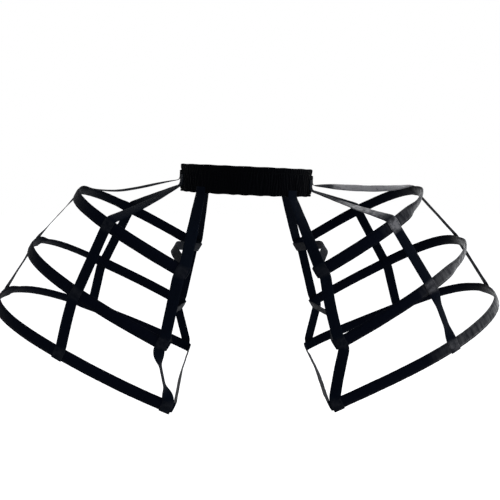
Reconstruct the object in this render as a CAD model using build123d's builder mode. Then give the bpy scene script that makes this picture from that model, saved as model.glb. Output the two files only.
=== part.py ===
"""Crinoline cage: a gathered waistband that carries a boned side cage on each hip.

Millimetres. The origin is the centre of the waist opening at mid height of the band.
+X is the wearer's left, -Y is the front and +Z is up. Each side cage has three
D shaped hoops, each a flat cloth casing with a bone inside and a tie on the body side,
and five tapes that hang the hoops from the band. The cage on +X is modelled, and the
one on -X is its mirror image.
"""

import os
from math import radians, cos, sin
from build123d import *

# Waistband, on an oval waist
waist_half_width = 116.0
waist_half_depth = 86.0
band_height = 47.0
heading_height = 9.0
hem_height = 2.5
gather_pitch = 5.2
gather_depth = 1.5

# Elastic inside the waistband
elastic_width = 30.0
elastic_thickness = 1.5

# Cloth plies, and the space that a sewn seam leaves between two pieces
ply = 0.7
seam_gap = 0.3

# Hoop casings and the bones inside them
casing_width = 20.0
casing_end_seam = 5.0
bone_width = 12.0
bone_thickness = 1.2
tip_wall = 0.4
tip_fit = 0.05
tip_length = 9.0

# Top hoop: where its plane starts at the hip, how it tilts and how far it reaches
top_stand_off = 100.0
top_drop = 140.0
top_tilt = 31.5
top_reach = 231.0
top_half_depth = 154.0
top_tie_bow = 48.0

# Middle hoop
middle_stand_off = 134.0
middle_drop = 258.0
middle_tilt = 31.0
middle_reach = 288.0
middle_half_depth = 144.0
middle_tie_bow = 20.0

# Bottom hoop
bottom_stand_off = 127.0
bottom_drop = 355.0
bottom_tilt = 26.0
bottom_reach = 350.0
bottom_half_depth = 156.0
bottom_tie_bow = 5.0

# Outline of every hoop: its belly beyond the front corner, and its rounder crown
shoulder_share = 0.35
belly = 7.5
crown_ease = 4.0

# Tapes that hang the hoops, and the ties that close them at the body
tape_width = 18.0
tape_thickness = 0.9
tape_tail = 0.5
tie_overhang = 4.0
tie_lap = 20.0
tie_corner_radius = 3.5
tie_bow_radius = 110.0

# Where the tapes are sewn to the band: how far in front of the side seam, how high
# the lowest stitch is above the band's lower edge, and the length of the sewn end
front_tape_forward = 65.0
front_side_tape_forward = 24.0
front_tape_rise = 0.5
front_side_tape_rise = 12.0
side_tape_rise = 19.0
sewn_end = 10.0
sewn_end_side = 17.0

# Shares of each hoop's half outline at which the front side and back side tapes cross it
front_side_share_top = 0.446
front_side_share_middle = 0.475
front_side_share_bottom = 0.490
back_side_share_top = 0.478
back_side_share_middle = 0.490
back_side_share_bottom = 0.500

# Sizes that follow from those above
tip_width = bone_width + 2 * (tip_fit + tip_wall)
tip_thickness = bone_thickness + 2 * (tip_fit + tip_wall)
channel_width = tip_width + 2 * seam_gap
channel_thickness = tip_thickness + 2 * seam_gap
casing_thickness = channel_thickness + 2 * ply
tape_seat = seam_gap + tape_thickness / 2
band_bottom = -band_height / 2
heading_bottom = band_height / 2 - heading_height
valley_inset = gather_depth
channel_outer_inset = valley_inset + ply
channel_inner_inset = channel_outer_inset + elastic_thickness + 2 * seam_gap
body_inset = channel_inner_inset + ply
front_side_shares = (front_side_share_top, front_side_share_middle, front_side_share_bottom)
back_side_shares = (back_side_share_top, back_side_share_middle, back_side_share_bottom)


class Hoop:
    """One D shaped hoop in its own tilted plane: local x reaches out, local y is the depth."""

    def __init__(self, stand_off, drop, tilt, reach, half_depth, tie_bow):
        self.reach = reach
        self.half_depth = half_depth
        self.tie_bow = tie_bow
        angle = radians(tilt)
        self.plane = Plane(
            origin=(stand_off, 0, -drop),
            x_dir=(cos(angle), 0, sin(angle)),
            z_dir=(-sin(angle), 0, cos(angle)),
        )

    def front_half(self, outset):
        """Control points from the front corner to the crown, outset from the middle line."""
        corner_depth = self.half_depth + outset
        crown = self.reach + outset
        return (
            (0, -corner_depth),
            (shoulder_share * self.reach, -(corner_depth + belly)),
            (crown, -(corner_depth - crown_ease)),
            (crown, 0),
        )

    def strip(self, thickness, start=0.0):
        """Draw the D as a strip of this thickness, cut square at start from both corners."""
        with BuildLine() as outline:
            outer = Bezier(*self.front_half(thickness / 2))
            inner = Bezier(*self.front_half(-thickness / 2))
            Line(outer @ 0, inner @ 0)
            mirror(about=Plane.XZ)
        make_face(outline.edges())
        if start:
            with Locations((start + self.reach, 0)):
                Rectangle(2 * self.reach, 4 * self.half_depth, mode=Mode.INTERSECT)

    def outer_face_line(self):
        """Front half of the casing's outer face at mid width, as an edge in space."""
        with BuildLine(self.plane) as line:
            Bezier(*self.front_half(casing_thickness / 2))
        return line.edges()[0]


def waist_line(inset):
    """Oval of the waistband as an edge, inset from the crests of its gathers."""
    with BuildLine() as line:
        EllipticalCenterArc((0, 0), waist_half_width - inset, waist_half_depth - inset, arc_size=360)
    return line.edges()[0]


def waist_oval(inset, mode=Mode.ADD):
    """Oval of the waistband as a face in the sketch."""
    Ellipse(waist_half_width - inset, waist_half_depth - inset, mode=mode)


def make_waistband_casing():
    """Gathered cloth tube with a flat heading above it and a channel for the elastic."""
    crests = waist_line(0)
    gathers = round(crests.length / gather_pitch)
    crest_points = [crests @ ((i + 0.5) / gathers) for i in range(gathers)]
    valleys = waist_line(valley_inset)
    valley_points = [valleys @ (i / gathers) for i in range(gathers)]
    with BuildPart() as casing:
        with BuildSketch(Plane.XY.offset(band_bottom)):
            with BuildLine():
                for i in range(gathers):
                    ThreePointArc(valley_points[i - 1], crest_points[i - 1], valley_points[i])
            make_face()
            waist_oval(body_inset, mode=Mode.SUBTRACT)
        extrude(amount=band_height - heading_height)
        with BuildSketch(Plane.XY.offset(heading_bottom)):
            waist_oval(valley_inset)
            waist_oval(body_inset, mode=Mode.SUBTRACT)
        extrude(amount=heading_height)
        with BuildSketch(Plane.XY.offset(band_bottom + hem_height)):
            waist_oval(channel_outer_inset)
            waist_oval(channel_inner_inset, mode=Mode.SUBTRACT)
        extrude(amount=elastic_width + 2 * seam_gap, mode=Mode.SUBTRACT)
    return casing.part


def make_waistband_elastic():
    """Flat elastic band that fills the channel of the waistband casing."""
    with BuildPart() as elastic:
        with BuildSketch(Plane.XY.offset(band_bottom + hem_height + seam_gap)):
            waist_oval(channel_outer_inset + seam_gap)
            waist_oval(channel_inner_inset - seam_gap, mode=Mode.SUBTRACT)
        extrude(amount=elastic_width)
    return elastic.part


def make_hoop_casing(hoop):
    """Flat cloth casing round the D, with the bone's channel sewn shut at both ends."""
    with BuildPart() as casing:
        with BuildSketch(hoop.plane):
            hoop.strip(casing_thickness)
        extrude(amount=casing_width / 2, both=True)
        with BuildSketch(hoop.plane):
            hoop.strip(channel_thickness, start=casing_end_seam)
        extrude(amount=channel_width / 2, both=True, mode=Mode.SUBTRACT)
    return casing.part


def make_bone(hoop):
    """Flat springy bone that holds the hoop's curve."""
    with BuildPart() as bone:
        with BuildSketch(hoop.plane):
            hoop.strip(bone_thickness, start=casing_end_seam + seam_gap + tip_wall + tip_fit)
        extrude(amount=bone_width / 2, both=True)
    return bone.part


def make_bone_tips(hoop):
    """Two caps, one over each end of the bone, so that it can't cut the casing."""
    tip_start = casing_end_seam + seam_gap
    pocket_start = tip_start + tip_wall
    with BuildPart() as tips:
        with BuildSketch(hoop.plane):
            hoop.strip(tip_thickness, start=tip_start)
            with Locations((tip_start + tip_length / 2, 0)):
                Rectangle(tip_length, 4 * hoop.half_depth, mode=Mode.INTERSECT)
        extrude(amount=tip_width / 2, both=True)
        with BuildSketch(hoop.plane):
            hoop.strip(bone_thickness + 2 * tip_fit, start=pocket_start)
        extrude(amount=bone_width / 2 + tip_fit, both=True, mode=Mode.SUBTRACT)
    return tips.part


def make_tie(hoop):
    """Tape that closes the hoop at the body, sewn inside the casing's two ends."""
    with BuildLine() as inner_face:
        Bezier(*hoop.front_half(-casing_thickness / 2))
    face_line = inner_face.edges()[0]
    face_corner = face_line @ 0
    lap = face_line @ (tie_lap / face_line.length) - face_corner
    along = lap.normalized()
    inward = along.rotate(Axis.Z, 90)
    lap_end = face_corner + lap + inward * tape_seat
    corner = face_corner - along * tie_overhang + inward * tape_seat
    with BuildPart() as tie:
        with BuildSketch(hoop.plane):
            with BuildLine():
                FilletPolyline(
                    lap_end,
                    corner,
                    (hoop.tie_bow, 0),
                    (corner.X, -corner.Y),
                    (lap_end.X, -lap_end.Y),
                    radius=[tie_corner_radius, tie_bow_radius, tie_corner_radius],
                )
            trace(line_width=tape_thickness)
        extrude(amount=tape_width / 2, both=True)
    return tie.part


def make_tape(points, across):
    """Flat tape through these points, as wide as tape_width along each across direction."""
    runs = [(end - start).normalized() for start, end in zip(points, points[1:])]
    with BuildPart() as tape:
        for i, (point, side) in enumerate(zip(points, across)):
            bisector = runs[max(i - 1, 0)] + runs[min(i, len(runs) - 1)]
            square = bisector - side * bisector.dot(side)
            with BuildSketch(Plane(origin=point, x_dir=side, z_dir=square)):
                Rectangle(tape_width, tape_thickness)
        loft(ruled=True)
    return tape.part


def sewn_to_band(forward, rise, sewn_length):
    """Points and across directions of a tape's end that lies flat on the outside of the band.

    forward is the distance of the tape's middle in front of the side seam.
    """
    half_width_there = waist_half_width * (1 - (forward / waist_half_depth) ** 2) ** 0.5
    crests = waist_line(0)
    share = crests.param_at_point((half_width_there, -forward))
    side = crests % share
    outward = side.cross(Vector(0, 0, 1))
    lowest = crests @ share + outward * tape_seat + Vector(0, 0, band_bottom + rise)
    return [lowest + Vector(0, 0, sewn_length), lowest], [side, side]


def over_hoops(hoops, share_at):
    """Points and across directions of a tape that passes over the outside of every hoop.

    share_at gives the share of the hoop's half outline at which the tape crosses it.
    """
    points = []
    across = []
    edge_of_casing = casing_width / 2
    for place, hoop in enumerate(hoops):
        line = hoop.outer_face_line()
        share = share_at(place, line)
        side = line % share
        up = hoop.plane.z_dir
        middle = line @ share + side.cross(up) * tape_seat
        above = edge_of_casing + (tape_seat if place == 0 else 0)
        below = edge_of_casing + (tape_tail if place == len(hoops) - 1 else 0)
        points += [middle + up * above, middle - up * below]
        across += [side, side]
    return points, across


def make_hanging_tape(hoops, forward, rise, sewn_length, share_at):
    """Tape from the waistband over all the hoops of one cage."""
    band_points, band_across = sewn_to_band(forward, rise, sewn_length)
    hoop_points, hoop_across = over_hoops(hoops, share_at)
    return make_tape(band_points + hoop_points, band_across + hoop_across)


def mirrored(piece, about):
    """A separate copy of the piece on the other side of a plane."""
    with BuildPart() as copy:
        mirror(piece, about=about)
    return copy.part


def write(piece, name):
    """Label one finished piece and write it to its own file."""
    piece.label = name
    export_step(piece, f"parts/{name}.step")


def main():
    os.makedirs("parts", exist_ok=True)
    named_hoops = {
        "top": Hoop(top_stand_off, top_drop, top_tilt, top_reach, top_half_depth, top_tie_bow),
        "middle": Hoop(
            middle_stand_off, middle_drop, middle_tilt, middle_reach, middle_half_depth, middle_tie_bow
        ),
        "bottom": Hoop(
            bottom_stand_off, bottom_drop, bottom_tilt, bottom_reach, bottom_half_depth, bottom_tie_bow
        ),
    }
    hoops = list(named_hoops.values())

    write(make_waistband_casing(), "waistband_casing")
    write(make_waistband_elastic(), "waistband_elastic")

    cage = {}
    for name, hoop in named_hoops.items():
        cage[f"{name}_hoop_casing"] = make_hoop_casing(hoop)
        cage[f"{name}_hoop_bone"] = make_bone(hoop)
        cage[f"{name}_hoop_bone_tips"] = make_bone_tips(hoop)
        cage[f"{name}_hoop_tie"] = make_tie(hoop)

    front_tape = make_hanging_tape(
        hoops, front_tape_forward, front_tape_rise, sewn_end, lambda place, line: tape_width / 2 / line.length
    )
    slanting = (hoops, front_side_tape_forward, front_side_tape_rise, sewn_end_side)
    cage["front_tape"] = front_tape
    cage["front_side_tape"] = make_hanging_tape(*slanting, lambda place, line: front_side_shares[place])
    cage["side_tape"] = make_hanging_tape(
        hoops, 0, side_tape_rise, sewn_end_side, lambda place, line: 1.0
    )
    back_side_tape = make_hanging_tape(*slanting, lambda place, line: back_side_shares[place])
    cage["back_side_tape"] = mirrored(back_side_tape, Plane.XZ)
    cage["back_tape"] = mirrored(front_tape, Plane.XZ)

    for name, piece in cage.items():
        write(piece, f"left_{name}")
        write(mirrored(piece, Plane.YZ), f"right_{name}")


main()
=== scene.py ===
import math

import bpy
import numpy as np
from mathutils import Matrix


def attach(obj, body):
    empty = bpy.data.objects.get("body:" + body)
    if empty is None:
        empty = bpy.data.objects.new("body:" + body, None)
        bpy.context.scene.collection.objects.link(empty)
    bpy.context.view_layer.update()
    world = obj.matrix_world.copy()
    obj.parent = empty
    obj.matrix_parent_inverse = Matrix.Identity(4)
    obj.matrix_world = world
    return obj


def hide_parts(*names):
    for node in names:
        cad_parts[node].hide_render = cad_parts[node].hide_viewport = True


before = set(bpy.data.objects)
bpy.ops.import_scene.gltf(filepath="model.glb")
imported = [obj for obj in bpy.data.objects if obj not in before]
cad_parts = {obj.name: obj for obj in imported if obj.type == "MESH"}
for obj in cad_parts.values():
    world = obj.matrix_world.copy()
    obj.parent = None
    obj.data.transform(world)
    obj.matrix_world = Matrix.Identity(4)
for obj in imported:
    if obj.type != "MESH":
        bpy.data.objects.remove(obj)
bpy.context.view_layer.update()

# Sizes of the solids, in metres and one share, as the part's own source has them.
WAIST_HALF_WIDTH = 0.116
WAIST_HALF_DEPTH = 0.086
BAND_BOTTOM = -0.0235
GATHER_PITCH = 0.0052
CASING_WIDTH = 0.020
CASING_THICKNESS = 0.0041
TAPE_WIDTH = 0.018
TAPE_THICKNESS = 0.0009
SEAM_GAP = 0.0003
TAPE_SEAT = SEAM_GAP + TAPE_THICKNESS / 2
TAPE_TAIL = 0.0005
TIE_LAP = 0.020
TIE_OVERHANG = 0.004
TIE_BOW_RADIUS = 0.110
SHOULDER_SHARE = 0.35
BELLY = 0.0075
CROWN_EASE = 0.004

# How the band sits when worn: a little lower on the left, and moved a little to the right.
BAND_LEAN = math.radians(2.6)
BAND_SHIFT = -0.0054
# The gathers stand this far proud of the plain band.
BAND_PROUD = 0.0006

# A turn in a tape comes in over the first 1 / TURN_EASE of its span. Next to the band it starts
# at once.
TURN_EASE = 3.0
BAND_SPAN_EASE = 2.5

# Steps of the shapes: shares along half a hoop's outline, the fewest steps of a line, and
# metres along each kind of line.
HALF_SHARES = np.linspace(0, 1, 400)
FEWEST_STEPS = 4
LINE_STEP = 0.003
HOOP_STEP = 0.004
BONE_STEP = 0.005
CASING_STEP = 0.0035
# A distance, and a share of the waist, that are short enough to take a direction from.
NEARBY = 0.001
NEARBY_SHARE = 0.001

SIDES = (("left", 1), ("right", -1))
FORE_AND_AFT = np.array([0, 1.0, 0])


# ---- lines that the cloth follows

def unit(rows):
    """The same directions, each 1 long."""
    return rows / np.linalg.norm(rows, axis=-1, keepdims=True)


def softened(rows, passes):
    """Round the corners of a line by averaging each row with its neighbours; the ends stay."""
    rows = rows.copy()
    for _ in range(passes):
        rows[1:-1] = (rows[:-2] + 2 * rows[1:-1] + rows[2:]) / 4
    return rows


class Route:
    """A line in space with an across direction and a face direction at every step."""

    def __init__(self, points, across, step=LINE_STEP, rounding=3, turning=8):
        points = np.array(points, float)
        across = unit(np.array(across, float))
        gone = self.lengths(points)
        even = np.linspace(0, gone[-1], max(int(round(gone[-1] / step)), FEWEST_STEPS) + 1)
        self.points = softened(self.spread(even, gone, points), rounding)
        across = softened(self.spread(even, gone, across), turning)
        self.gone = self.lengths(self.points)
        self.length = self.gone[-1]
        along = unit(np.gradient(self.points, axis=0))
        across -= (across * along).sum(1, keepdims=True) * along
        self.along, self.across = along, unit(across)
        self.face = np.cross(self.along, self.across)

    @staticmethod
    def lengths(points):
        """The length gone at each point of a line."""
        return np.r_[0, np.cumsum(np.linalg.norm(np.diff(points, axis=0), axis=1))]

    @staticmethod
    def spread(at, gone, rows):
        """Rows between those of a line, at these lengths gone."""
        return np.stack([np.interp(at, gone, column) for column in rows.T], 1)

    def at(self, distance, rows=None):
        """Points, or rows such as the faces, at a distance along the line."""
        return self.spread(distance, self.gone, self.points if rows is None else rows)

    def off(self, distance, across, out):
        """Points at a distance along the line, this far across it and out from it."""
        return (self.at(distance) + across[:, None] * self.at(distance, self.across)
                + out[:, None] * self.at(distance, self.face))

    def between(self, start, end):
        """How far each step has come between two shares of the length, from 0 to 1."""
        return np.clip((self.gone / self.length - start) / (end - start), 0, 1)

    def twisted(self, start, end, angle, ease=TURN_EASE, at_once=False):
        """Turn the cloth about its line between two shares of its length, by degrees."""
        share = self.between(start, end)
        come = np.clip(np.minimum(share, 1 - share) * ease, 0, 1)
        come = come * (2 - come) if at_once else come * come * (3 - 2 * come)
        turn = (math.radians(angle) * come)[:, None]
        across, face = self.across, self.face
        self.across = across * np.cos(turn) + face * np.sin(turn)
        self.face = face * np.cos(turn) - across * np.sin(turn)
        return self

    def lifted(self, start, end, height):
        """Raise or drop the line along its across direction between two shares of its length."""
        rise = height * np.sin(math.pi * self.between(start, end)) ** 2
        self.points = self.points + rise[:, None] * self.across
        return self

    def part(self, trim):
        """The same line without this length at both ends."""
        keep = (self.gone > trim) & (self.gone < self.length - trim)
        return Route(self.points[keep], self.across[keep], BONE_STEP, rounding=0, turning=0)

    def sides(self, side):
        """The same line on the left or the right of the waist."""
        flip = np.array([side, 1, 1])
        for name in ("points", "along", "across", "face"):
            setattr(self, name, getattr(self, name) * flip)
        return self


class Hoop:
    """One D shaped hoop in its own tilted plane, on the left of the waist."""

    def __init__(self, stand_off, drop, tilt, reach, half_depth, tie_bow):
        self.reach, self.half_depth, self.tie_bow = reach, half_depth, tie_bow
        angle = math.radians(tilt)
        self.origin = np.array([stand_off, 0, -drop])
        self.out = np.array([math.cos(angle), 0, math.sin(angle)])
        self.up = np.array([-math.sin(angle), 0, math.cos(angle)])

    def half(self, t, outset):
        """Points of the front half at t from 0, the corner, to 1, the crown, in the plane."""
        deep, crown = self.half_depth + outset, self.reach + outset
        t = np.asarray(t, float)[:, None]
        return (
            (1 - t) ** 3 * np.array([0, -deep])
            + 3 * (1 - t) ** 2 * t * np.array([SHOULDER_SHARE * self.reach, -(deep + BELLY)])
            + 3 * (1 - t) * t ** 2 * np.array([crown, -(deep - CROWN_EASE)])
            + t ** 3 * np.array([crown, 0])
        )

    def lift(self, flat):
        """Points of the plane as points in space."""
        flat = np.atleast_2d(flat)
        return self.origin + flat[:, :1] * self.out + flat[:, 1:] * FORE_AND_AFT

    def line(self):
        """The whole D from the front corner round the crown to the back corner."""
        front = self.half(HALF_SHARES, 0)
        flat = np.vstack([front, front[-2::-1] * (1, -1)])
        points = self.lift(flat)
        return Route(points, np.tile(self.up, (len(points), 1)), HOOP_STEP, rounding=0, turning=0)

    def outer_face(self):
        """The front half of the casing's outer face, and the length gone at each of its points."""
        outer = self.half(HALF_SHARES, CASING_THICKNESS / 2)
        return outer, Route.lengths(outer)

    def crossing(self, share, back):
        """Middle of the outer face at a share of the half outline, and the casing's direction."""
        outer, gone = self.outer_face()
        spot = share * gone[-1]
        spots = np.clip([spot, spot + NEARBY, spot - NEARBY], 0, gone[-1])
        here, ahead, behind = Route.spread(spots, gone, outer)
        way = np.array([0, 1.0]) if share >= 1 else unit(ahead - behind)
        if back:
            here, way = here * (1, -1), way * (-1, 1)
        direction = way[0] * self.out + way[1] * FORE_AND_AFT
        return self.lift(here)[0], direction


# Stand-off from the waist's middle, drop, tilt in degrees, reach, half depth, and the tie's bow.
HOOPS = {
    "top": Hoop(0.100, 0.140, 31.5, 0.231, 0.154, 0.048),
    "middle": Hoop(0.134, 0.258, 31.0, 0.288, 0.144, 0.020),
    "bottom": Hoop(0.127, 0.355, 26.0, 0.350, 0.156, 0.005),
}


def worn(points, side=1, turn_only=False):
    """Points of the level band where they sit when worn, for a piece mirrored to its side."""
    points = np.atleast_2d(np.asarray(points, float)) * np.array([side, 1, 1])
    c, s = math.cos(BAND_LEAN), math.sin(BAND_LEAN)
    x, y, z = points.T
    moved = np.stack([x * c + z * s, y, z * c - x * s], 1)
    if not turn_only:
        moved[:, 0] += BAND_SHIFT
    return moved * np.array([side, 1, 1])


# A ripple is the sum of this many waves, each between these many times as frequent as its scale
# says, levelled so that it mostly stays between -1 and 1.
RIPPLE_WAVES = 5
RIPPLE_LEVEL = RIPPLE_WAVES ** 0.75
WAVE_SPREAD = (0.5, 1.6)
WAVE_STARTS = (0, 6.28)


def ripple(along, across, seed, along_scale, across_scale=0.03):
    """Smooth uneven ripple, the same on each run."""
    rng = np.random.default_rng(seed)
    total = 0
    for _ in range(RIPPLE_WAVES):
        f = 2 * math.pi * rng.uniform(*WAVE_SPREAD) / along_scale
        g = 2 * math.pi * rng.uniform(-1, 1) / across_scale
        total = total + np.sin(f * along + g * across + rng.uniform(*WAVE_STARTS))
    return total / RIPPLE_LEVEL


# ---- cloth pieces

def deselect():
    """Nothing selected, so that an operator acts only on what comes next."""
    bpy.ops.object.select_all(action="DESELECT")


def edit_all():
    """Edit mode with the whole piece selected."""
    bpy.ops.object.mode_set(mode="EDIT")
    bpy.ops.mesh.select_all(action="SELECT")


def flat_cloth(name, steps_along, steps_across):
    """A flat piece of cloth before it is laid: a grid with its own UV map."""
    deselect()
    bpy.ops.mesh.primitive_grid_add(x_subdivisions=steps_along, y_subdivisions=steps_across, size=1)
    cloth = bpy.context.object
    cloth.name = cloth.data.name = name
    return cloth


def points_of(mesh):
    """The mesh's points, a row for each."""
    points = np.empty(len(mesh.vertices) * 3)
    mesh.vertices.foreach_get("co", points)
    return points.reshape(-1, 3)


def laid(cloth, length, width, place):
    """Lay the cloth: place gives where each point goes, from its share along and across."""
    mesh = cloth.data
    flat = points_of(mesh)
    share_along, share_across = flat[:, 0] + 0.5, flat[:, 1] + 0.5
    mesh.vertices.foreach_set("co", place(share_along, share_across).ravel())
    uv = np.empty(len(mesh.loops) * 2)
    mesh.uv_layers[0].data.foreach_get("uv", uv)
    uv = uv.reshape(-1, 2) * (length, width)
    mesh.uv_layers[0].data.foreach_set("uv", uv.ravel())
    mesh.update()


# Points closer than this are joined. A selvedge is rounded by this share of its thickness, where
# it turns by more than this angle.
JOIN_REACH = 0.00002
SELVEDGE_SHARE = 0.3
SELVEDGE_ANGLE = math.radians(60)


def sewn_up(cloth, caps=False):
    """Join the edges that meet, close open ends if asked, and turn all faces outwards."""
    edit_all()
    bpy.ops.mesh.remove_doubles(threshold=JOIN_REACH)
    if caps:
        bpy.ops.mesh.select_all(action="DESELECT")
        bpy.ops.mesh.select_non_manifold(
            use_wire=False, use_multi_face=False, use_non_contiguous=False, use_verts=False)
        bpy.ops.mesh.fill_holes(sides=0)
        bpy.ops.mesh.select_all(action="SELECT")
    bpy.ops.mesh.normals_make_consistent(inside=False)
    bpy.ops.object.mode_set(mode="OBJECT")
    bpy.ops.object.shade_smooth()
    return cloth


def thickened(cloth, thickness):
    """Give a single sheet its thickness, with softened edges."""
    solidify = cloth.modifiers.new("Thickness", "SOLIDIFY")
    solidify.thickness = thickness
    solidify.offset = 0
    bpy.ops.object.modifier_apply(modifier=solidify.name)
    bevel = cloth.modifiers.new("Selvedge", "BEVEL")
    bevel.width = thickness * SELVEDGE_SHARE
    bevel.segments = 1
    bevel.limit_method = "ANGLE"
    bevel.angle_limit = SELVEDGE_ANGLE
    bpy.ops.object.modifier_apply(modifier=bevel.name)
    return sewn_up(cloth)


# Half section of a casing: distance from its middle, and half its thickness there. The bone's
# channel is full, the stitch line pinches the cloth and the edge is two plies.
CASING_SECTION = (
    (0.0, 0.00205), (0.0025, 0.00204), (0.0048, 0.00198), (0.0063, 0.0017), (0.0071, 0.0012),
    (0.0077, 0.00072), (0.0081, 0.00066), (0.0086, 0.00085), (0.0093, 0.0009), (0.0098, 0.0006),
    (0.0100, 0.0),
)
STITCH_LINE = 0.0081
# The last stretch at both ends thins to a share of its thickness.
PINCHED_END = 0.006
PINCHED_SHARE = 0.4
# Where the stitched edge starts and how wide it is; puckers along it, as a share of the thickness
# and as a rise; a slow swell of the width, and a fine crinkle of both faces.
EDGE_START, EDGE_WIDTH = 0.006, 0.004
PUCKER_SHARE, PUCKER_RISE = 0.10, 0.00022
SWELL_SHARE = 0.012
CRINKLE_RISE = 0.00012


def casing_ring():
    """The section as a closed ring of (across, thickness) points, from one edge round to itself."""
    half = np.array(CASING_SECTION)
    face = np.vstack([half[::-1] * (-1, 1), half[1:]])
    return np.vstack([face, face[-2::-1] * (1, -1)])


def make_casing(name, line, seed):
    """Flat cloth tube round a bone, with puckers along its two stitch lines, and its flat size."""
    ring = casing_ring()
    steps = int(line.length / CASING_STEP)
    cloth = flat_cloth(name, steps, len(ring) - 1)
    around = np.linspace(0, 1, len(ring))

    def place(share_along, share_across):
        gone = share_along * line.length
        across = np.interp(share_across, around, ring[:, 0])
        thick = np.interp(share_across, around, ring[:, 1])
        from_end = np.minimum(gone, line.length - gone)
        thick *= PINCHED_SHARE + (1 - PINCHED_SHARE) * np.clip(from_end / PINCHED_END, 0, 1)
        edge = np.clip((np.abs(across) - EDGE_START) / EDGE_WIDTH, 0, 1)
        pucker = ripple(gone, across, seed, along_scale=0.010, across_scale=0.05)
        swell = ripple(gone, across, seed + 50, along_scale=0.07, across_scale=0.08)
        crinkle = ripple(gone, across, seed + 9, along_scale=0.018, across_scale=0.012)
        out = thick * (1 + PUCKER_SHARE * pucker * edge) + PUCKER_RISE * edge * pucker
        out += np.sign(thick) * CRINKLE_RISE * crinkle
        return line.off(gone, across * (1 + SWELL_SHARE * swell * edge), out)

    perimeter = Route.lengths(ring)[-1]
    laid(cloth, line.length, perimeter, place)
    return sewn_up(cloth, caps=True), (perimeter / 2, line.length)


# Steps across a tape, how much it cups and waves, and how much more its edges wave.
STRIP_ROWS = 6
TAPE_CUPPING = 0.0003
TAPE_WAVE = 0.00018
EDGE_WAVES = 80


def make_strip(name, line, seed, width=TAPE_WIDTH, thickness=TAPE_THICKNESS,
               cupping=TAPE_CUPPING, wave=TAPE_WAVE):
    """A flat tape along a line, a little cupped, with edges that are not quite straight."""
    steps = max(int(line.length / LINE_STEP), FEWEST_STEPS)
    cloth = flat_cloth(name, steps, STRIP_ROWS)

    def place(share_along, share_across):
        gone = share_along * line.length
        across = (share_across - 0.5) * width
        level = 2 * share_across - 1
        waves = ripple(gone, across, seed, along_scale=0.05, across_scale=0.04)
        edges = ripple(gone, 0, seed + 3, along_scale=0.06)
        out = wave * waves - cupping * level ** 2
        return line.off(gone, across * (1 + EDGE_WAVES * wave * edges), out)

    laid(cloth, line.length, width, place)
    return thickened(cloth, thickness)


# Points are matched to their line in this many batches, to spare memory.
RUB_BATCHES = 8


def mark_sheen_and_pale(piece, line, stretches):
    """Mark the paler cloth, a painted sheen and paler crossings: stretches of (start, end, fade,
    amount) along the line, in metres.
    """
    mesh = piece.data
    points = points_of(mesh)
    gone = np.concatenate([
        line.gone[np.linalg.norm(some[:, None] - line.points, axis=2).argmin(axis=1)]
        for some in np.array_split(points, RUB_BATCHES)
    ])
    total = np.zeros(len(points))
    for start, end, fade, amount in stretches:
        share = np.clip(np.minimum(gone - start, end - gone) / fade, 0, 1)
        total = np.maximum(total, amount * share)
    painted_sheen_and_pale = mesh.attributes.new("painted_sheen_and_pale", "FLOAT", "POINT")
    painted_sheen_and_pale.data.foreach_set("value", total.astype(np.float32))


# ---- stitches

STITCH_LENGTH = 0.0024
STITCH_PITCH = 0.0032
STITCH_WIDTH = 0.00042
# A run of stitches stops this far from the ends of its line.
RUN_MARGIN = 0.002
# Shares of a stitch: its straight middle, each tapered end, and the width of its tip.
STITCH_MIDDLE, STITCH_TAPER, STITCH_TIP = 0.6, 0.2, 0.5


def one_stitch():
    """A single stitch, drawn once: a short bar with tapered ends, 1 long and 1 wide."""
    deselect()
    bpy.ops.mesh.primitive_cylinder_add(
        vertices=4, radius=0.5, depth=STITCH_MIDDLE, rotation=(0, math.radians(90), 0))
    stitch = bpy.context.object
    bpy.ops.object.transform_apply(location=True, rotation=True, scale=True)
    bpy.ops.object.mode_set(mode="EDIT")
    bpy.ops.mesh.select_mode(type="FACE")
    for end in (-1, 1):
        bpy.ops.mesh.select_all(action="DESELECT")
        bpy.ops.object.mode_set(mode="OBJECT")
        for face in stitch.data.polygons:
            face.select = face.normal.x * end > 0.9
        bpy.ops.object.mode_set(mode="EDIT")
        bpy.ops.mesh.extrude_region_move(
            TRANSFORM_OT_translate={"value": (STITCH_TAPER * end, 0, 0)})
        bpy.ops.transform.resize(
            value=(1, STITCH_TIP, STITCH_TIP), center_override=(0.5 * end, 0, 0))
    bpy.ops.mesh.select_mode(type="VERT")
    bpy.ops.object.mode_set(mode="OBJECT")
    # Extrude numbers its new points differently on each run, so all are put in order of place.
    points = points_of(stitch.data)
    order = np.lexsort(points.T)
    rank = np.argsort(order).tolist()
    faces = []
    for face in stitch.data.polygons:
        corners = [rank[i] for i in face.vertices]
        first = corners.index(min(corners))
        faces.append(tuple(corners[first:] + corners[:first]))
    bpy.data.objects.remove(stitch)
    return points[order], sorted(faces)


STITCH_POINTS, STITCH_FACES = one_stitch()


def sew(name, rows):
    """One piece of thread with a copy of the stitch at every row of (middle, along, face)."""
    points, faces = [], []
    count = len(STITCH_POINTS)
    for middle, along, face in rows:
        across = np.cross(face, along)
        axes = np.stack([along * STITCH_LENGTH, across * STITCH_WIDTH, face * STITCH_WIDTH])
        first = len(points) * count
        points.append(middle + STITCH_POINTS @ axes)
        faces += [tuple(first + i for i in f) for f in STITCH_FACES]
    mesh = bpy.data.meshes.new(name)
    mesh.from_pydata(np.vstack(points).tolist(), [], faces)
    thread = bpy.data.objects.new(name, mesh)
    bpy.context.collection.objects.link(thread)
    deselect()
    thread.select_set(True)
    bpy.context.view_layer.objects.active = thread
    edit_all()
    bpy.ops.mesh.normals_make_consistent(inside=False)
    bpy.ops.object.mode_set(mode="OBJECT")
    bpy.ops.object.shade_smooth()
    return finish(thread, THREAD_BLACK)


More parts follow.
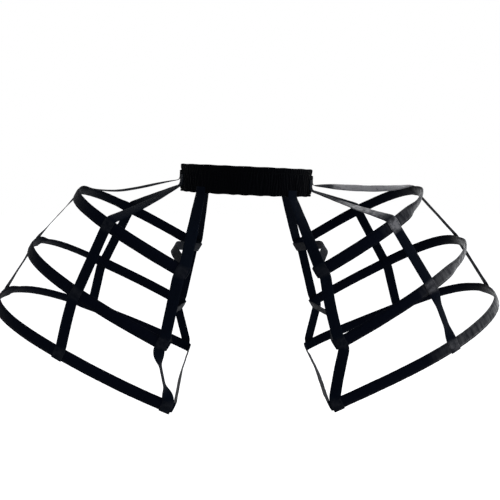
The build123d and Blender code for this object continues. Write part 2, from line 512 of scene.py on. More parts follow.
def stitch_run(line, across, out, start=RUN_MARGIN, end=None, faces=(1, -1)):
    """Rows for a straight run of stitches beside a line, on one or both faces."""
    end = line.length - RUN_MARGIN if end is None else end
    middles = np.arange(start + STITCH_PITCH / 2, end, STITCH_PITCH)
    at, along = line.at(middles), unit(line.at(middles, line.along))
    side, face = unit(line.at(middles, line.across)), unit(line.at(middles, line.face))
    rows = []
    for which in faces:
        spots = at + across * side + which * out * face
        rows += list(zip(spots, along, which * face))
    return rows


def stitch_box(line, centre, half_long, half_wide, out, facing):
    """Rows for a rectangle of stitches that holds a tape down, on the face that shows."""
    rows = []
    ends = centre - half_long, centre + half_long
    for across in (-half_wide, half_wide):
        rows += stitch_run(line, across, out, *ends, faces=(facing,))
    count = int(2 * half_wide / STITCH_PITCH)
    for gone in ends:
        spot = np.array([gone])
        at, side = line.at(spot)[0], unit(line.at(spot, line.across))[0]
        face = facing * unit(line.at(spot, line.face))[0]
        for k in range(count):
            across = (k + 0.5 - count / 2) * STITCH_PITCH
            rows.append((at + across * side + out * face, side, face))
    return rows


# ---- materials

def add_node(nodes, kind, settings=None, **values):
    """A new shader node: its settings, then its input values, with _ in place of a space."""
    node = nodes.new(f"ShaderNode{kind}")
    for name, value in (settings or {}).items():
        setattr(node, name, value)
    for name, value in values.items():
        node.inputs[name.replace("_", " ")].default_value = value
    return node


def feed(source, output, node, entry):
    """Feed one shader node's output to an input of another."""
    node.id_data.links.new(source.outputs[output], node.inputs[entry])


def new_material(name, colour, roughness, specular, sheen=0.0):
    """A plain material, with its nodes and its shader."""
    material = bpy.data.materials.new(name)
    material.use_nodes = True
    nodes = material.node_tree.nodes
    shader = nodes["Principled BSDF"]
    shader.inputs["Base Color"].default_value = (*colour, 1)
    shader.inputs["Roughness"].default_value = roughness
    shader.inputs["Specular IOR Level"].default_value = specular
    shader.inputs["Sheen Weight"].default_value = sheen
    shader.inputs["Sheen Roughness"].default_value = 0.4
    return material, nodes, shader


# The twill's slant, how far apart a wave texture of scale 1 sets its ribs, and the scale of the
# noise that lightens single threads.
TWILL_SLANT = math.radians(58)
RIB_AT_SCALE_ONE = 0.314
WORN_THREADS = 700.0
# Levels of the folds between which paler cloth goes from dull to glinting, and how much: the
# painted sheen comes in glinting patches.
GLINT_LEVELS = (0.36, 0.62)
GLINTS = (0.35, 1.5)
# Levels of the folds between which any cloth goes from its smoother to its rougher finish.
GLOSS_LEVELS = (0.3, 0.7)


def woven(name, dark, light, roughness, specular, sheen, rib, rib_depth=0.00006,
          crease=(90, 25), crease_depth=0.0003, sheen_and_pale_colour=None, bloom=0.0):
    """Black cloth: a fine twill rib, soft creases and lighter threads, paler in glinting patches
    where it is marked, mostly as a painted sheen.
    """
    material, nodes, shader = new_material(name, dark, roughness[0], specular, sheen)
    place = add_node(nodes, "TexCoord")
    turn = add_node(nodes, "Mapping", Rotation=(0, 0, TWILL_SLANT))
    weave = add_node(
        nodes, "TexWave", {"wave_type": "BANDS", "bands_direction": "X", "wave_profile": "SIN"},
        Scale=RIB_AT_SCALE_ONE / rib, Distortion=0.6, Detail=1.0)
    stretch = add_node(nodes, "Mapping", Scale=(*crease, 1))
    folds = add_node(nodes, "TexNoise", Scale=1.0, Detail=4.0, Roughness=0.6)
    wear = add_node(nodes, "TexNoise", Scale=WORN_THREADS, Detail=2.0)
    for mapping in (turn, stretch):
        feed(place, "UV", mapping, "Vector")
    feed(turn, "Vector", weave, "Vector")
    feed(stretch, "Vector", folds, "Vector")
    feed(place, "UV", wear, "Vector")

    tint = add_node(nodes, "Mix", {"data_type": "RGBA"}, A=(*dark, 1), B=(*light, 1))
    amount = add_node(nodes, "Math", {"operation": "MULTIPLY"})
    feed(folds, "Fac", amount, 0)
    feed(wear, "Fac", amount, 1)
    feed(amount, "Value", tint, "Factor")
    feed(tint, "Result", shader, "Base Color")
    # Painted sheen: where the attribute marks it, the base colour is mixed towards pale grey in
    # glinting patches, and the sheen rises there.
    if sheen_and_pale_colour:
        painted_sheen_and_pale = add_node(nodes, "Attribute", {"attribute_name": "painted_sheen_and_pale"})
        sheen_and_pale_tint = add_node(nodes, "Mix", {"data_type": "RGBA"}, B=(*sheen_and_pale_colour, 1))
        nap = add_node(nodes, "MapRange", To_Min=sheen, To_Max=bloom)
        glints = add_node(nodes, "MapRange", From_Min=GLINT_LEVELS[0], From_Max=GLINT_LEVELS[1],
                          To_Min=GLINTS[0], To_Max=GLINTS[1])
        patchy = add_node(nodes, "Math", {"operation": "MULTIPLY"})
        feed(folds, "Fac", glints, "Value")
        feed(glints, "Result", patchy, 0)
        feed(painted_sheen_and_pale, "Fac", patchy, 1)
        feed(patchy, "Value", sheen_and_pale_tint, "Factor")
        feed(tint, "Result", sheen_and_pale_tint, "A")
        feed(sheen_and_pale_tint, "Result", shader, "Base Color")
        feed(patchy, "Value", nap, "Value")
        feed(nap, "Result", shader, "Sheen Weight")

    gloss = add_node(nodes, "MapRange", From_Min=GLOSS_LEVELS[0], From_Max=GLOSS_LEVELS[1],
                     To_Min=roughness[0], To_Max=roughness[1])
    feed(folds, "Fac", gloss, "Value")
    feed(gloss, "Result", shader, "Roughness")

    deep = add_node(nodes, "Bump", Strength=0.9, Distance=crease_depth)
    fine = add_node(nodes, "Bump", Strength=0.8, Distance=rib_depth)
    feed(folds, "Fac", deep, "Height")
    feed(weave, "Fac", fine, "Height")
    feed(deep, "Normal", fine, "Normal")
    feed(fine, "Normal", shader, "Normal")
    return material


def mottled(name, colour, other, roughness, specular, metallic, scale, depth):
    """Hard material of a hidden part, in Object coordinates: coated steel or pressed caps."""
    material, nodes, shader = new_material(name, colour, roughness[0], specular)
    shader.inputs["Metallic"].default_value = metallic
    place = add_node(nodes, "TexCoord")
    grain = add_node(nodes, "TexNoise", Scale=scale, Detail=3.0)
    tint = add_node(nodes, "Mix", {"data_type": "RGBA"}, A=(*colour, 1), B=(*other, 1))
    gloss = add_node(nodes, "MapRange", To_Min=roughness[0], To_Max=roughness[1])
    bump = add_node(nodes, "Bump", Strength=0.6, Distance=depth)
    feed(place, "Object", grain, "Vector")
    feed(grain, "Fac", tint, "Factor")
    feed(tint, "Result", shader, "Base Color")
    feed(grain, "Fac", gloss, "Value")
    feed(gloss, "Result", shader, "Roughness")
    feed(grain, "Fac", bump, "Height")
    feed(bump, "Normal", shader, "Normal")
    return material


CASING_SATIN = woven(
    "casing_satin", dark=(0.0010, 0.0016, 0.0040), light=(0.0040, 0.0056, 0.0110),
    roughness=(0.36, 0.60), specular=0.003, sheen=0.05, rib=0.0011, rib_depth=0.00012,
    crease=(170, 70), crease_depth=0.0006, sheen_and_pale_colour=(0.040, 0.041, 0.045), bloom=0.9)
TAPE_TWILL = woven(
    "tape_twill", dark=(0.0012, 0.0021, 0.0046), light=(0.0036, 0.0060, 0.0115),
    roughness=(0.34, 0.56), specular=0.003, sheen=0.05, rib=0.0010, rib_depth=0.00012,
    crease=(150, 110), crease_depth=0.0004, sheen_and_pale_colour=(0.120, 0.120, 0.130), bloom=0.9)
BAND_CLOTH = woven(
    "band_cloth", dark=(0.0002, 0.0003, 0.0007), light=(0.0012, 0.0014, 0.0024),
    roughness=(0.62, 0.8), specular=0.01, sheen=0.03, rib=0.0008, rib_depth=0.0001,
    crease=(300, 120), crease_depth=0.0003)
THREAD_BLACK = woven(
    "thread_black", dark=(0.0006, 0.0008, 0.0016), light=(0.004, 0.0045, 0.007),
    roughness=(0.4, 0.6), specular=0.04, sheen=0.0, rib=0.0004, crease=(800, 800),
    crease_depth=0.00005)
ELASTIC_WEBBING = woven(
    "elastic_webbing", dark=(0.006, 0.006, 0.007), light=(0.02, 0.02, 0.022),
    roughness=(0.6, 0.8), specular=0.3, sheen=0.02, rib=0.0012, rib_depth=0.0002)
BONE_COATING = mottled(
    "bone_coating", colour=(0.62, 0.61, 0.58), other=(0.74, 0.73, 0.70), roughness=(0.35, 0.5),
    specular=0.5, metallic=0.0, scale=400, depth=0.00004)
TIP_STEEL = mottled(
    "tip_steel", colour=(0.42, 0.42, 0.43), other=(0.60, 0.60, 0.61), roughness=(0.28, 0.45),
    specular=0.5, metallic=1.0, scale=900, depth=0.00003)


def finish(piece, material, node=None):
    """Material, body and slot of a finished piece, and any node that it stands for."""
    piece.data.materials.clear()
    piece.data.materials.append(material)
    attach(piece, "root")
    if node:
        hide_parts(node)
    return piece


# ---- waistband

# The waist's outline, sampled from its left side round.
WAIST_ANGLES = np.linspace(0, 2 * math.pi, 4001)
WAIST_GONE = Route.lengths(np.stack([
    WAIST_HALF_WIDTH * np.cos(WAIST_ANGLES), WAIST_HALF_DEPTH * np.sin(WAIST_ANGLES),
], 1))
WAIST_LENGTH = WAIST_GONE[-1]

# Steps round the band.
BAND_COLUMNS = 1080
# Section of the band, from the lower edge up the outside, over the heading and down the inside:
# height, inset from the crests, and how much of the gathers shows there.
BAND_SECTION = (
    (-0.0235, 0.0030, 0.3), (-0.0234, 0.0016, 0.8), (-0.0229, 0.0009, 1.0), (-0.0220, 0.0008, 1.0),
    (-0.0212, 0.0012, 0.9), (-0.0205, 0.0020, 0.6), (-0.0198, 0.0012, 0.9), (-0.0180, 0.0004, 1.0),
    (-0.0140, 0.0000, 1.0), (-0.0100, 0.0000, 1.0), (-0.0060, 0.0000, 1.0), (-0.0020, 0.0000, 1.0),
    (0.0020, 0.0000, 1.0), (0.0060, 0.0000, 1.0), (0.0095, 0.0002, 1.0), (0.0118, 0.0006, 0.9),
    (0.0131, 0.0013, 0.6), (0.0138, 0.0021, 0.4), (0.0145, 0.0013, 0.5), (0.0155, 0.0010, 0.55),
    (0.0180, 0.0008, 0.5), (0.0205, 0.0007, 0.45), (0.0225, 0.0009, 0.4), (0.0233, 0.0015, 0.4),
    (0.0235, 0.0024, 0.4), (0.0233, 0.0032, 0.4), (0.0222, 0.0037, 0.4), (0.0195, 0.0038, 0.45),
    (0.0160, 0.0038, 0.5), (0.0145, 0.0036, 0.5), (0.0138, 0.0034, 0.4), (0.0128, 0.0042, 0.3),
    (0.0100, 0.0049, 0.2), (0.0040, 0.0050, 0.15), (-0.0040, 0.0050, 0.15), (-0.0120, 0.0050, 0.15),
    (-0.0185, 0.0049, 0.2), (-0.0202, 0.0041, 0.3), (-0.0215, 0.0046, 0.4), (-0.0228, 0.0044, 0.5),
    (-0.0234, 0.0038, 0.5), (-0.0235, 0.0030, 0.3),
)
# The row where that section turns to the inside, and how deep the gathers are on each side.
INSIDE_ROW = 25
OUTER_GATHER, INNER_GATHER = 0.0019, 0.0009
CREST_ROUNDING = 0.85
# How the gathers wander, as waves round the waist.
GATHER_DRIFT = (
    (7, 0.35, 0.5, 0.3), (13, 0.28, -0.8, 1.9), (29, 0.20, 1.3, 4.0), (53, 0.12, -2.2, 2.2),
)
DRIFT_SLANT = 90
# Some gathers are deeper than others: their middle depth, and waves round the waist.
GATHER_MIDDLE = 0.85
GATHER_DEPTHS = ((17, 0.15, 0, 1.0), (41, 0.12, 60, 0))
# The heading ruffles more towards its top edge, and both edges wave a little: how far, and how many
# half waves to a gather.
HEADING_START, HEADING_HEIGHT = 0.0138, 0.009
HEADING_RUFFLE, HEADING_WAVES, RUFFLE_START = 0.0004, 0.7, 0.6
TOP_EDGE_WAVE, TOP_EDGE_WAVES = 0.00025, 0.31
LOWER_EDGE, LOWER_EDGE_WAVE, LOWER_EDGE_WAVES = -0.0225, 0.0004, 0.43


def band_point(share, height, inset):
    """Point of the level band at a share of its length round the waist."""
    angle = np.interp(share * WAIST_LENGTH, WAIST_GONE, WAIST_ANGLES)
    out = BAND_PROUD - inset
    return np.stack([
        (WAIST_HALF_WIDTH + out) * np.cos(angle),
        (WAIST_HALF_DEPTH + out) * np.sin(angle),
        height + 0 * angle,
    ], 1)


def waist_waves(waves, turn, height, middle=0):
    """Waves round the waist: how many there are, then the size, slant and start of each."""
    return sum((size * np.sin(count * turn + slant * height + start)
                for count, size, slant, start in waves), middle)


def make_waistband():
    """Gathered cloth tube: uneven ribs between the stitch lines, and a slightly ruffled heading."""
    section = np.array(BAND_SECTION)
    cloth = flat_cloth("gathered_waistband", BAND_COLUMNS, len(section) - 1)
    around = np.linspace(0, 1, len(section))
    ribs = round(WAIST_LENGTH / GATHER_PITCH)

    def place(share_along, share_across):
        share_along = share_along % 1.0
        height = np.interp(share_across, around, section[:, 0])
        inset = np.interp(share_across, around, section[:, 1])
        weight = np.interp(share_across, around, section[:, 2])
        turn = 2 * math.pi * share_along
        phase = ribs * share_along + waist_waves(GATHER_DRIFT, turn, DRIFT_SLANT * height)
        valley = 1 - np.abs(np.sin(math.pi * phase)) ** CREST_ROUNDING
        size = waist_waves(GATHER_DEPTHS, turn, height, GATHER_MIDDLE)
        row = share_across * (len(section) - 1)
        outside = (row < INSIDE_ROW - 0.5) | (row > len(section) - 1.5)
        depth = np.where(outside, OUTER_GATHER, INNER_GATHER) * weight * size
        inset = inset + np.where(outside, depth * valley, -depth * 0.5 * valley)
        heading = np.clip((height - HEADING_START) / HEADING_HEIGHT, 0, 1)
        ruffle = np.sin(math.pi * phase * HEADING_WAVES + RUFFLE_START)
        inset += heading * HEADING_RUFFLE * ruffle * size
        top_wave = heading * TOP_EDGE_WAVE * np.sin(math.pi * phase * TOP_EDGE_WAVES)
        lower_wave = LOWER_EDGE_WAVE * np.sin(math.pi * phase * LOWER_EDGE_WAVES)
        height = height + top_wave + np.where(height < LOWER_EDGE, lower_wave, 0)
        return worn(band_point(share_along, height, inset))

    perimeter = Route.lengths(section[:, :2])[-1]
    laid(cloth, WAIST_LENGTH, perimeter, place)
    sewn_up(cloth)
    finish(cloth, BAND_CLOTH, "waistband_casing")
    return cloth, perimeter


# Section of the elastic as a closed ring of (height, inset), and how far it is stretched when worn.
ELASTIC_SECTION = (
    (-0.0207, 0.00395), (-0.0207, 0.0025), (-0.0057, 0.0025), (0.0093, 0.0025), (0.0093, 0.00395),
    (-0.0057, 0.00395), (-0.0207, 0.00395),
)
ELASTIC_PERIMETER = 0.063
ELASTIC_COLUMNS, ELASTIC_ROWS = 240, 8


def make_elastic():
    """Flat woven elastic in the band's channel."""
    cloth = flat_cloth("woven_elastic", ELASTIC_COLUMNS, ELASTIC_ROWS)
    ring = np.array(ELASTIC_SECTION)
    around = np.linspace(0, 1, len(ring))

    def place(share_along, share_across):
        height = np.interp(share_across, around, ring[:, 0])
        inset = np.interp(share_across, around, ring[:, 1])
        return worn(band_point(share_along % 1.0, height, inset))

    laid(cloth, WAIST_LENGTH, ELASTIC_PERIMETER, place)
    sewn_up(cloth)
    finish(cloth, ELASTIC_WEBBING, "waistband_elastic")


# The band's seams: height, inset, and 1 outside or -1 inside.
BAND_SEAMS = (
    (0.0139, 0.0018, 1), (-0.0205, 0.0018, 1), (0.0139, 0.0039, -1), (-0.0205, 0.0046, -1),
)


def band_stitches():
    """Stitches of the band's two seams, on both sides of the cloth."""
    rows = []
    count = int(WAIST_LENGTH / STITCH_PITCH)
    shares = (np.arange(count) + 0.5) / count
    up = worn(np.array([[0, 0, 1.0]]), turn_only=True)[0]
    for height, inset, outward in BAND_SEAMS:
        here = worn(band_point(shares, height, inset))
        ahead = worn(band_point((shares + NEARBY_SHARE) % 1.0, height, inset))
        along = unit(ahead - here)
        face = unit(np.cross(along, up)) * outward
        rows += list(zip(here, along, face))
    return sew("waistband_stitching", rows)


waistband, band_perimeter = make_waistband()
waistband_thread = band_stitches()
make_elastic()


# ---- hoops

# How far inside its casing's end a bone starts, and the bone's own size.
BONE_START = 0.0058
BONE_WIDTH = 0.012
BONE_THICKNESS = 0.0012
# Hoops whose bone has settled: stretches that lie higher or lower, and stretches that turn about
# themselves. Start and end are shares of the whole D; then metres, or degrees and how soon.
BONE_LIFTS = {
    ("bottom", 1): ((0.03, 0.47, -0.0026), (0.55, 0.99, -0.0050)),
    ("bottom", -1): ((0.03, 0.47, 0.0022), (0.55, 0.99, -0.0020)),
    ("middle", 1): ((0.55, 0.99, -0.0026),),
    ("middle", -1): ((0.50, 0.99, -0.0040),),
    ("top", -1): ((0.50, 0.99, -0.0015),),
}
BONE_TURNS = {
    ("top", 1): ((0.27, 0.488, 42, 4), (0.512, 0.755, -14, 6)),
    ("middle", 1): ((0.30, 0.488, 30, 4),),
    ("bottom", 1): ((0.524, 0.740, -14, 7),),
    ("top", -1): ((0.512, 0.735, -24, 7),),
    ("middle", -1): ((0.526, 0.730, -38, 9),),
    ("bottom", -1): ((0.524, 0.728, -25, 8),),
}

# Stretches of casing painted paler, a painted sheen where the light from the right falls on the
# right hoops, in shares of the whole D, and how much.
PAINTED_SHEEN_CASINGS = {
    ("top", 1): (0.18, 0.52, 0.5),
    ("middle", 1): (0.21, 0.54, 0.8),
    ("bottom", 1): (0.20, 0.54, 0.5),
}
PAINTED_SHEEN_FADE = 0.06
# The stitched edge of a casing is this thick on each side of its middle.
STITCHED_FACE = 0.00078

# The bottom ties are pulled straight, and one of them turns a little about itself.
TIE_PULL = {"bottom": 0.005}
TIE_TURNS = {("bottom", 1): (0.06, 0.94, -12, 8)}
# A tie's bow starts at most this share of the way from its middle to the corner.
LONGEST_BOW = 0.9
BOW_STEPS = 7


def settled_line(hoop, place_name, side):
    """The line of a hoop's bone and casing as they have settled."""
    line = hoop.line().sides(side)
    for lift in BONE_LIFTS.get((place_name, side), ()):
        line.lifted(*lift)
    for turned in BONE_TURNS.get((place_name, side), ()):
        line.twisted(*turned)
    return line


def settled_height(place_name, side, share):
    """How much higher the settled hoop lies at a share of the whole D."""
    return sum(height * math.sin(math.pi * min(max((share - start) / (end - start), 0), 1)) ** 2
               for start, end, height in BONE_LIFTS.get((place_name, side), ()))


def line_of_tie(hoop, place_name, side):
    """From a lap inside the front corner, round it, and in a bow to the back corner and its lap."""
    inner = hoop.half(HALF_SHARES, -CASING_THICKNESS / 2)
    corner = inner[0]
    lap_point = Route.spread(np.array([TIE_LAP]), Route.lengths(inner), inner)[0]
    way = unit(lap_point - corner)
    inward = np.array([-way[1], way[0]])
    lap_end = lap_point + inward * TAPE_SEAT
    turn = corner - way * TIE_OVERHANG + inward * TAPE_SEAT
    to_back = np.array([1, -1])
    bow = np.array([hoop.tie_bow - TIE_PULL.get(place_name, 0), 0])
    leg = unit(bow - turn)
    tangent = TIE_BOW_RADIUS * math.tan(math.acos(np.clip(leg[1], -1, 1)))
    arc_start = bow - leg * min(tangent, LONGEST_BOW * np.linalg.norm(bow - turn))
    flat_points = [lap_end, turn]
    for share in np.linspace(0, 0.5, BOW_STEPS):
        flat_points.append((1 - share) ** 2 * arc_start + 2 * share * (1 - share) * bow
                           + share ** 2 * arc_start * to_back)
    flat_points += [p * to_back for p in flat_points[-2::-1]]
    points = hoop.lift(np.array(flat_points))
    line = Route(points, np.tile(-hoop.up, (len(points), 1)), rounding=2, turning=0).sides(side)
    if (place_name, side) in TIE_TURNS:
        line.twisted(*TIE_TURNS[(place_name, side)])
    return line


for side_name, side in SIDES:
    for number, (place_name, hoop) in enumerate(HOOPS.items()):
        node = f"{side_name}_{place_name}_hoop"
        seed = 10 * number + (3 if side > 0 else 6)
        line = settled_line(hoop, place_name, side)
        casing, flat_casing = make_casing(f"{node}_boned_casing", line, seed)
        # The right hoops' casings get a painted sheen over these stretches.
        if (place_name, side) in PAINTED_SHEEN_CASINGS:
            begin, end, amount = PAINTED_SHEEN_CASINGS[(place_name, side)]
            mark_sheen_and_pale(casing, line, [(begin * line.length, end * line.length, PAINTED_SHEEN_FADE, amount)])
        finish(casing, CASING_SATIN, f"{node}_casing")
        rows = []
        for across in (-STITCH_LINE, STITCH_LINE):
            rows += stitch_run(line, across, STITCHED_FACE)
        thread = sew(f"{node}_casing_stitching", rows)

        tie_line = line_of_tie(hoop, place_name, side)
        tie = make_strip(f"{node}_flat_tie", tie_line, seed + 70)
        finish(tie, TAPE_TWILL, f"{node}_tie")

        bone = make_strip(f"{node}_settled_bone", line.part(BONE_START), seed, BONE_WIDTH,
                          BONE_THICKNESS, cupping=0, wave=0)
        finish(bone, BONE_COATING, f"{node}_bone")
        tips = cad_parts[f"{node}_bone_tips"].data.materials
        tips.clear()
        tips.append(TIP_STEEL)


# ---- hanging tapes

# Per tape: how far in front of the side it is sewn to the band, or behind it, how high above the
# band's lower edge its sewn end starts, the length of that end, and whether it runs at the back.
TAPES = {
    "front": (0.065, 0.0005, 0.010, False),
    "front_side": (0.024, 0.012, 0.017, False),
    "side": (0.0, 0.019, 0.017, False),
    "back_side": (0.024, 0.012, 0.017, True),
    "back": (0.065, 0.0005, 0.010, True),
}
# Where each crosses the three hoops: at the corner, or at a share of the half outline, and a share
# above 1 is as far behind the crown.
CORNER = "corner"
CROSSINGS = {
    ("front", 1): CORNER, ("front", -1): CORNER, ("back", 1): CORNER, ("back", -1): CORNER,
    ("front_side", 1): (0.447, 0.491, 0.512), ("front_side", -1): (0.445, 0.453, 0.460),
    ("side", 1): (1.0, 1.022, 1.018), ("side", -1): (1.0, 1.022, 1.020),
    ("back_side", 1): (0.458, 0.477, 0.488), ("back_side", -1): (0.498, 0.505, 0.512),
}
# Slack of the three spans from the band down: how far the middle of the span hangs off the
# straight line (out, back, up), how far it turns about itself in degrees, and a number that is
# above 1 where the span hangs lowest in its outer half.
TAUT = (0, 0, 0)
STRAIGHT = (TAUT, 0, 1)
SLACK = {
    ("side", 1): (((0, 0, -0.006), 36, 1.5), (TAUT, 1, 1), (TAUT, 3, 1)),
    ("side", -1): (((0, 0, -0.013), -12, 1.6), (TAUT, 12, 1), (TAUT, 8, 1)),
    ("front_side", 1): (((0, 0, -0.002), -8, 1), STRAIGHT, (TAUT, -30, 1)),
    ("front_side", -1): (((0, 0, -0.003), 0, 1.2), STRAIGHT, ((0.001, 0, 0), 0, 1)),
    ("front", 1): (STRAIGHT, ((-0.002, 0, 0), 0, 1), ((-0.001, 0, 0), 0, 1)),
    ("front", -1): (STRAIGHT, STRAIGHT, ((0.002, 0, 0), 78, 1)),
}
NO_SLACK = (STRAIGHT,) * 3
SPAN_STEPS = 12
# How pale the crossings are, from the top hoop down, how far and how softly: a little at every
# crossing, and a painted highlight on the right front-side tape.
PALER_CROSSINGS = 0.04
CROSSING_SHEEN = {("front_side", 1): (1.0, 0.30, 0.26)}
CROSSING_PALE_RADIUS, CROSSING_PALE_FADE = 0.0115, 0.005
# Half the height and half the width of the stitched boxes, and their margin at the sewn end.
BOX_HALF_HEIGHT, BOX_HALF_WIDTH = 0.0078, 0.0072
SEWN_MARGIN = 0.0025
# Spans next to the band with a painted highlight where the light falls on them: where it starts,
# how softly, and how much.
PAINTED_SHEEN_SPANS = {("side", 1): (0.17, 0.03, 1.6), ("front_side", 1): (0.34, 0.04, 0.8)}


def sewn_end(forward, rise, length, back, side):
    """Points and across directions of a tape's end on the outside of the leaning band."""
    x = WAIST_HALF_WIDTH * (1 - (forward / WAIST_HALF_DEPTH) ** 2) ** 0.5
    across = unit(np.array([forward / WAIST_HALF_DEPTH ** 2, x / WAIST_HALF_WIDTH ** 2, 0]))
    outward = np.array([across[1], -across[0], 0])
    low = np.array([x, -forward, BAND_BOTTOM + rise]) + outward * TAPE_SEAT
    points = np.array([low + (0, 0, length), low + (0, 0, length / 2), low])
    if back:
        points, across = points * (1, -1, 1), across * (-1, 1, 1)
    return worn(points, side), worn(across, side, turn_only=True)[0]


def hanging_line(tape_name, side):
    """A tape's line from the band down over its hoops, and its three spans, in metres of the line:
    start, end, and the middle of the crossing below."""
    forward, rise, length, back = TAPES[tape_name]
    points, band_across = sewn_end(forward, rise, length, back, side)
    stations, across = [tuple(p) for p in points], [band_across] * len(points)
    slack = SLACK.get((tape_name, side), NO_SLACK)
    crossings = CROSSINGS[(tape_name, side)]
    marks = []
    for number, (place_name, hoop) in enumerate(HOOPS.items()):
        _, gone = hoop.outer_face()
        share = TAPE_WIDTH / 2 / gone[-1] if crossings == CORNER else crossings[number]
        behind = back or share > 1
        share = min(share, 2 - share)
        middle, way = hoop.crossing(share, behind)
        outward = np.cross(way, hoop.up)
        settled = settled_height(place_name, side, 1 - share / 2 if behind else share / 2)
        middle = middle + outward * TAPE_SEAT + hoop.up * settled
        above = CASING_WIDTH / 2 + (TAPE_SEAT if place_name == "top" else 0)
        below = CASING_WIDTH / 2 + (TAPE_TAIL if place_name == "bottom" else 0)
        top, bottom = middle + hoop.up * above, middle - hoop.up * below
        first, start, first_across = len(stations) - 1, np.array(stations[-1]), across[-1]
        bow, _, skew = slack[number]
        for come in np.arange(1, SPAN_STEPS) / SPAN_STEPS:
            hang = come ** skew
            push = np.array(bow) * 4 * hang * (1 - hang)
            stations.append(tuple(start + (top - start) * come + push))
            across.append(unit(first_across * (1 - come) + way * come))
        stations += [tuple(top), tuple(middle), tuple(bottom)]
        across += [way] * 3
        marks.append([first, len(stations) - 3, len(stations) - 2])
    gone = Route.lengths(np.array(stations))
    line = Route(stations, across, turning=10)
    spans = (gone * line.length / gone[-1])[marks]
    for number, (start, end, _) in enumerate(spans):
        _, angle, _ = slack[number]
        if angle:
            line.twisted(start / line.length, end / line.length, angle,
                         BAND_SPAN_EASE if number == 0 else TURN_EASE, at_once=number == 0)
    return line.sides(side), spans


def hanging_tape(name, tape_name, side, seed):
    """A tape over its hoops, its line, and the rows of stitches that hold it."""
    line, spans = hanging_line(tape_name, side)
    tape = make_strip(name, line, seed)
    # Paler at every crossing, with a painted highlight at the right front-side tape's crossings.
    amounts = CROSSING_SHEEN.get((tape_name, side), (PALER_CROSSINGS,) * 3)
    stretches = [(centre - CROSSING_PALE_RADIUS, centre + CROSSING_PALE_RADIUS, CROSSING_PALE_FADE, amount)
                 for (_, _, centre), amount in zip(spans, amounts)]
    # The right straps next to the band get a painted highlight on these spans.
    if (tape_name, side) in PAINTED_SHEEN_SPANS:
        begin, fade, amount = PAINTED_SHEEN_SPANS[(tape_name, side)]
        start, end, _ = spans[0]
        stretches.append((start + (end - start) * begin, end, fade, amount))
    mark_sheen_and_pale(tape, line, stretches)

    _, _, sewn, _ = TAPES[tape_name]
    boxes = [(centre, BOX_HALF_HEIGHT) for _, _, centre in spans]
    rows = []
    for centre, half_height in boxes + [(sewn / 2, sewn / 2 - SEWN_MARGIN)]:
        rows += stitch_box(line, centre, half_height, BOX_HALF_WIDTH, TAPE_THICKNESS / 2, side)
    return tape, line, rows


for side_name, side in SIDES:
    for number, tape_name in enumerate(TAPES):
        node = f"{side_name}_{tape_name}_tape"
        tape, line, rows = hanging_tape(f"{node}_twill", tape_name, side, 30 + 5 * number + side)
        finish(tape, TAPE_TWILL, node)
        thread = sew(f"{node}_stitching", rows)


# ---- floor, light and camera

FLOOR_HEIGHT = -1.05
FLOOR_SIZE = 24
FLOOR_GLOW = 0.7
# The room is dim on the left of the picture and bright on the right, between these directions.
ROOM_DIM, ROOM_BRIGHT = 0.12, 1.0
ROOM_FROM, ROOM_TO = -0.5, 0.9
# Lamps: where each stands, what it points at, its size in metres and its power in watts.
LAMPS = {
    "lamp_right": ((1.7, -0.35, 0.25), (0.3, 0, -0.1), 0.8, 18),
    "lamp_high_right": ((0.71, 0.90, 1.24), (0.25, 0, 0), 0.7, 10),
    "lamp_front": ((-0.5, -1.9, 1.3), (0, 0, -0.1), 1.2, 14),
}
CAMERA_PLACE = (-0.0263, -1.0, 0.0195)
CAMERA_DIP, CAMERA_TURN = math.radians(8.24), math.radians(-1.57)
CAMERA_LENS, SENSOR_WIDTH = 40.36, 36


def plain_rays(nodes):
    """A node that says 1 for rays that see the backdrop, and 0 for those that light the cloth."""
    path = add_node(nodes, "LightPath")
    either = add_node(nodes, "Math", {"operation": "MAXIMUM"})
    any_of = add_node(nodes, "Math", {"operation": "MAXIMUM"})
    feed(path, "Is Camera Ray", either, 0)
    feed(path, "Is Glossy Ray", either, 1)
    feed(either, "Value", any_of, 0)
    feed(path, "Is Transmission Ray", any_of, 1)
    return any_of


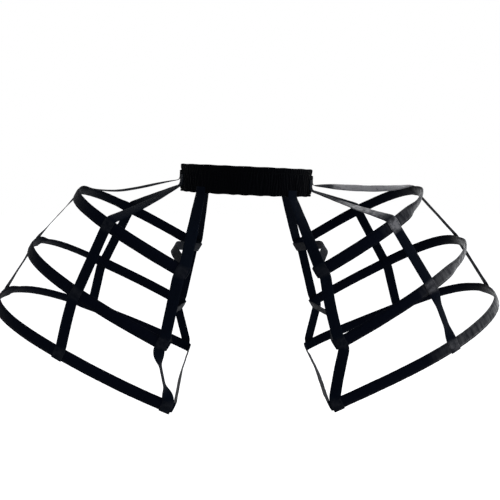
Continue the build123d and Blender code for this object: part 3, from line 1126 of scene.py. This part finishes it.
def make_floor():
    """Wide pale floor, white where the camera looks at it, that keeps the soft shadow."""
    deselect()
    bpy.ops.mesh.primitive_plane_add(size=FLOOR_SIZE, location=(0, 0, FLOOR_HEIGHT))
    floor = bpy.context.object
    floor.name = "studio_floor"
    bpy.ops.object.transform_apply(location=True, rotation=True, scale=True)
    material, nodes, shader = new_material(
        "floor_paper", colour=(0.86, 0.86, 0.86), roughness=0.9, specular=0.1)
    glow = add_node(nodes, "Emission", Color=(1, 1, 1, 1), Strength=FLOOR_GLOW)
    both = add_node(nodes, "AddShader")
    pick = add_node(nodes, "MixShader")
    feed(plain_rays(nodes), "Value", pick, "Fac")
    feed(shader, "BSDF", pick, 1)
    feed(shader, "BSDF", both, 0)
    feed(glow, "Emission", both, 1)
    feed(both, "Shader", pick, 2)
    feed(pick, "Shader", nodes["Material Output"], "Surface")
    floor.data.materials.append(material)


def make_world():
    """Plain white room for the camera, and soft light that comes more from the right."""
    world = bpy.context.scene.world or bpy.data.worlds.new("studio")
    bpy.context.scene.world = world
    world.use_nodes = True
    nodes = world.node_tree.nodes
    nodes.clear()
    way = add_node(nodes, "TexCoord")
    split = add_node(nodes, "SeparateXYZ")
    level = add_node(nodes, "MapRange", From_Min=ROOM_FROM, From_Max=ROOM_TO,
                     To_Min=ROOM_DIM, To_Max=ROOM_BRIGHT)
    room = add_node(nodes, "Background", Color=(0.95, 0.97, 1.0, 1))
    backdrop = add_node(nodes, "Background", Color=(1, 1, 1, 1), Strength=1.0)
    pick = add_node(nodes, "MixShader")
    output = add_node(nodes, "OutputWorld")
    feed(way, "Generated", split, "Vector")
    feed(split, "X", level, "Value")
    feed(level, "Result", room, "Strength")
    feed(plain_rays(nodes), "Value", pick, "Fac")
    feed(room, "Background", pick, 1)
    feed(backdrop, "Background", pick, 2)
    feed(pick, "Shader", output, "Surface")


def soft_lamp(name, place, target, size, power):
    """A round soft lamp that points at its target."""
    deselect()
    bpy.ops.object.light_add(type="AREA", location=place)
    lamp = bpy.context.object
    lamp.name = name
    lamp.data.shape = "DISK"
    lamp.data.size = size
    lamp.data.energy = power
    aim = np.array(target, float) - np.array(place, float)
    lamp.rotation_euler = (
        math.atan2(math.hypot(aim[0], aim[1]), -aim[2]), 0, math.atan2(aim[1], aim[0]) - math.pi / 2
    )


def make_camera():
    """The photograph's view, a metre in front of the waist."""
    deselect()
    bpy.ops.object.camera_add(
        location=CAMERA_PLACE, rotation=(math.pi / 2 - CAMERA_DIP, 0, CAMERA_TURN))
    camera = bpy.context.object
    camera.name = "studio_camera"
    camera.data.sensor_width = SENSOR_WIDTH
    camera.data.lens = CAMERA_LENS
    camera.data.clip_start = 0.01
    bpy.context.scene.camera = camera


make_camera()
make_floor()
make_world()
for lamp_name, lamp in LAMPS.items():
    soft_lamp(lamp_name, *lamp)
bpy.context.scene.view_settings.view_transform = "Standard"
